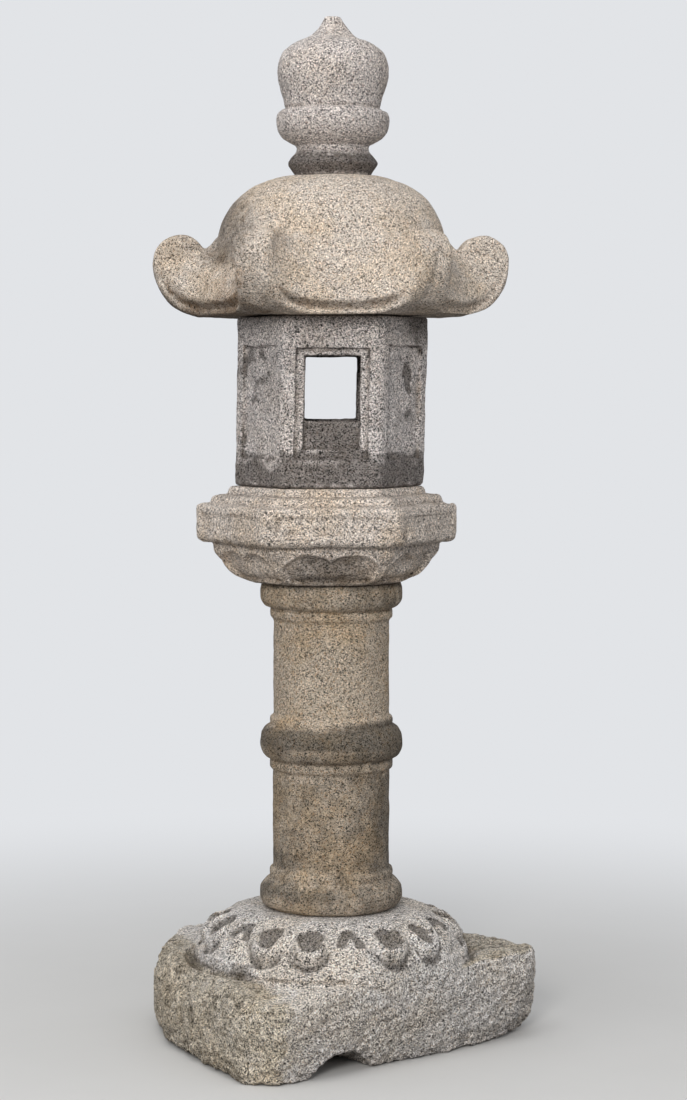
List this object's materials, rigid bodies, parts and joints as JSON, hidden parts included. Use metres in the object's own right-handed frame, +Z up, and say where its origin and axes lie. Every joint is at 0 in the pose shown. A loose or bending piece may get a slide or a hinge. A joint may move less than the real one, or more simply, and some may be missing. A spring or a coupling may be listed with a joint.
{
  "type": "stone lantern",
  "caption": "Free-standing granite garden lantern: lotus base on a rough block, turned shaft, hexagonal platform, windowed light chamber, domed roof with curled corners, onion finial.",
  "frame": {"origin": "on the ground, at the underside of the base stone, under the axis of the shaft", "axes": "+Z up along the shaft, -Y towards the front window, a corner of each hexagon along +X"},
  "size_m": [0.6878, 0.693, 1.817],
  "materials": {
    "base_granite": "matte",
    "shaft_granite": "matte",
    "platform_granite": "matte",
    "firebox_granite": "matte",
    "roof_granite": "matte",
    "finial_granite": "matte"
  },
  "bodies": {
    "base_body": {"base": "base_granite"},
    "shaft_body": {"shaft": "shaft_granite"},
    "platform_body": {"platform": "platform_granite"},
    "firebox_body": {"firebox": "firebox_granite"},
    "roof_body": {"roof": "roof_granite"},
    "finial_body": {"finial": "finial_granite"}
  },
  "joints": [
    {"name": "shaft_lift", "type": "slide", "parent": "base_body", "child": "shaft_body", "axis": [0, 0, 1], "range_m": [0, 0.09]},
    {"name": "platform_lift", "type": "slide", "parent": "shaft_body", "child": "platform_body", "axis": [0, 0, 1], "range_m": [0, 0.09]},
    {"name": "firebox_lift", "type": "slide", "parent": "platform_body", "child": "firebox_body", "axis": [0, 0, 1], "range_m": [0, 0.09]},
    {"name": "roof_lift", "type": "slide", "parent": "firebox_body", "child": "roof_body", "axis": [0, 0, 1], "range_m": [0, 0.09]},
    {"name": "finial_lift", "type": "slide", "parent": "roof_body", "child": "finial_body", "axis": [0, 0, 1], "range_m": [0, 0.09]}
  ]
}
